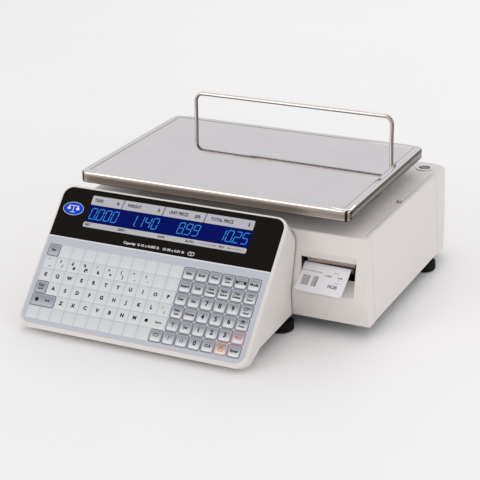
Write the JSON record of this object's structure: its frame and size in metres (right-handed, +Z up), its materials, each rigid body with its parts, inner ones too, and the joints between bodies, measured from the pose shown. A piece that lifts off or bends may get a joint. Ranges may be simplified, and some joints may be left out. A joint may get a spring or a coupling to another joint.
{
  "type": "label-printing retail price scale",
  "caption": "Counter scale with a sloping keyboard console and lit display, a polished lift-off platter with a wire guard rail, and a side-loading label printer.",
  "frame": {"origin": "on the counter, at the middle of the box around the scale", "axes": "-Y towards the operator and the keyboard, +X to the operator's right where the labels come out, +Z up"},
  "size_m": [0.3856, 0.4293, 0.192],
  "materials": {
    "case_white": "fine satin moulding",
    "tray_grey": "moulded, matt",
    "keypad_print": "printed polyester",
    "panel_black": "gloss black",
    "window_blue": "clear window",
    "lcd_blue": "lit blue glass",
    "board_green": "solder mask",
    "component_black": "moulded packages",
    "laminate": "polyester laminate",
    "stainless_polished": "mirror polish",
    "chrome_wire": "chromed wire",
    "steel": "bright zinc plate",
    "steel_warm": "plain bracket steel",
    "aluminium": "machined",
    "cast_alloy": "die cast, dark stoved",
    "brass": "turned",
    "rubber_black": "moulded rubber",
    "knob_black": "moulded",
    "gear_acetal": "acetal",
    "plastic_black": "moulded",
    "head_ceramic": "alumina on alloy",
    "label_paper": "coated thermal paper",
    "core_card": "wound card",
    "vial_clear": "clear"
  },
  "bodies": {
    "base": {"main_housing": "case_white", "base_tray": "tray_grey", "foot_inserts": "brass", "pan_screws": "steel", "console_shell": "case_white", "keypad_overlay": "keypad_print", "key_domes": "steel", "membrane_circuit": "laminate", "display_panel": "panel_black", "display_window": "window_blue", "lcd_module": "lcd_blue", "display_board": "board_green", "spider": "cast_alloy", "platter_buffers": "rubber_black", "hub_bracket": "cast_alloy", "socket_screws": "steel", "load_cell": "aluminium", "cell_spacers": "aluminium", "overload_stops": "steel", "printer_plate": "steel", "outer_bracket": "plastic_black", "printer_axles": "steel", "stepper_motor": "steel", "label_spindle": "plastic_black", "roll_guide": "plastic_black", "peel_bar": "steel", "label": "label_paper", "main_board": "board_green", "board_components": "component_black", "power_supply": "steel", "power_inlet": "plastic_black", "inlet_pins": "brass", "switch_frame": "plastic_black", "data_port": "plastic_black", "level_ring": "aluminium", "level_vial": "vial_clear"},
    "platter": {"platter": "stainless_polished", "guard_rail": "chrome_wire", "rail_sockets": "steel"},
    "side_door": {"side_door": "case_white"},
    "power_switch": {"switch_rocker": "plastic_black"},
    "platen": {"platen_shaft": "steel", "platen_roller": "rubber_black", "platen_gear": "gear_acetal"},
    "idler": {"idler_gear": "gear_acetal"},
    "motor_rotor": {"motor_pinion": "brass"},
    "label_roll": {"label_roll": "label_paper", "roll_core": "core_card"},
    "rewind_spool": {"rewind_spool": "plastic_black"},
    "print_head": {"head_bracket": "steel_warm", "print_head": "head_ceramic"},
    "head_lever": {"head_lever": "plastic_black"},
    "foot_fr_pad": {"foot_pad_fr": "rubber_black"},
    "foot_fr_knob": {"foot_knob_fr": "knob_black"},
    "foot_fl_pad": {"foot_pad_fl": "rubber_black"},
    "foot_fl_knob": {"foot_knob_fl": "knob_black"},
    "foot_rr_pad": {"foot_pad_rr": "rubber_black"},
    "foot_rr_knob": {"foot_knob_rr": "knob_black"},
    "foot_rl_pad": {"foot_pad_rl": "rubber_black"},
    "foot_rl_knob": {"foot_knob_rl": "knob_black"}
  },
  "joints": [
    {"name": "platter_lift", "type": "slide", "parent": "base", "child": "platter", "axis": [0, 0, 1], "range_m": [0, 0.12]},
    {"name": "side_door_hinge", "type": "hinge", "parent": "base", "child": "side_door", "pos_m": [0.1883, 0.055, 0.019], "axis": [0, 1, 0], "range_deg": [0, 90]},
    {"name": "power_switch_rock", "type": "hinge", "parent": "base", "child": "power_switch", "pos_m": [-0.098, 0.2116, 0.04375], "axis": [0, 0, 1], "range_deg": [-18, 0]},
    {"name": "platen_spin", "type": "hinge", "parent": "base", "child": "platen", "pos_m": [0.132, -0.05, 0.072], "axis": [1, 0, 0], "continuous": true},
    {"name": "idler_spin", "type": "hinge", "parent": "base", "child": "idler", "pos_m": [0.09, -0.02576, 0.06153], "axis": [1, 0, 0], "continuous": true},
    {"name": "motor_spin", "type": "hinge", "parent": "base", "child": "motor_rotor", "pos_m": [0.1, -0.014, 0.042], "axis": [1, 0, 0], "continuous": true},
    {"name": "label_roll_spin", "type": "hinge", "parent": "base", "child": "label_roll", "pos_m": [0.132, 0.095, 0.067], "axis": [1, 0, 0], "continuous": true},
    {"name": "rewind_spin", "type": "hinge", "parent": "base", "child": "rewind_spool", "pos_m": [0.13, 0.026, 0.043], "axis": [1, 0, 0], "continuous": true},
    {"name": "head_lift", "type": "hinge", "parent": "base", "child": "print_head", "pos_m": [0.134, -0.008, 0.096], "axis": [-1, 0, 0], "range_deg": [0, 8]},
    {"name": "head_lever_turn", "type": "hinge", "parent": "base", "child": "head_lever", "pos_m": [0.1685, -0.028, 0.1005], "axis": [-1, 0, 0], "range_deg": [0, 48]},
    {"name": "foot_fr_travel", "type": "slide", "parent": "base", "child": "foot_fr_pad", "axis": [0, 0, 1], "range_m": [-0.00625, 0.00375]},
    {"name": "foot_fr_turn", "type": "hinge", "parent": "foot_fr_pad", "child": "foot_fr_knob", "pos_m": [0.086, -0.087, 0.005], "axis": [0, 0, 1], "range_deg": [-1801, 1081]},
    {"name": "foot_fl_travel", "type": "slide", "parent": "base", "child": "foot_fl_pad", "axis": [0, 0, 1], "range_m": [-0.00625, 0.00375]},
    {"name": "foot_fl_turn", "type": "hinge", "parent": "foot_fl_pad", "child": "foot_fl_knob", "pos_m": [-0.172, -0.087, 0.005], "axis": [0, 0, 1], "range_deg": [-1801, 1081]},
    {"name": "foot_rr_travel", "type": "slide", "parent": "base", "child": "foot_rr_pad", "axis": [0, 0, 1], "range_m": [-0.00625, 0.00375]},
    {"name": "foot_rr_turn", "type": "hinge", "parent": "foot_rr_pad", "child": "foot_rr_knob", "pos_m": [0.1775, 0.148, 0.005], "axis": [0, 0, 1], "range_deg": [-1801, 1081]},
    {"name": "foot_rl_travel", "type": "slide", "parent": "base", "child": "foot_rl_pad", "axis": [0, 0, 1], "range_m": [-0.00625, 0.00375]},
    {"name": "foot_rl_turn", "type": "hinge", "parent": "foot_rl_pad", "child": "foot_rl_knob", "pos_m": [-0.1775, 0.148, 0.005], "axis": [0, 0, 1], "range_deg": [-1801, 1081]}
  ],
  "couplings": [
    {"joint": "idler_spin", "follows": "platen_spin", "ratio": -0.57143},
    {"joint": "motor_spin", "follows": "platen_spin", "ratio": 1.6},
    {"joint": "head_lever_turn", "follows": "head_lift", "ratio": 6},
    {"joint": "foot_fr_turn", "follows": "foot_fr_travel", "rad_per_m": 5026.5},
    {"joint": "foot_fl_turn", "follows": "foot_fl_travel", "rad_per_m": 5026.5},
    {"joint": "foot_rr_turn", "follows": "foot_rr_travel", "rad_per_m": 5026.5},
    {"joint": "foot_rl_turn", "follows": "foot_rl_travel", "rad_per_m": 5026.5}
  ]
}
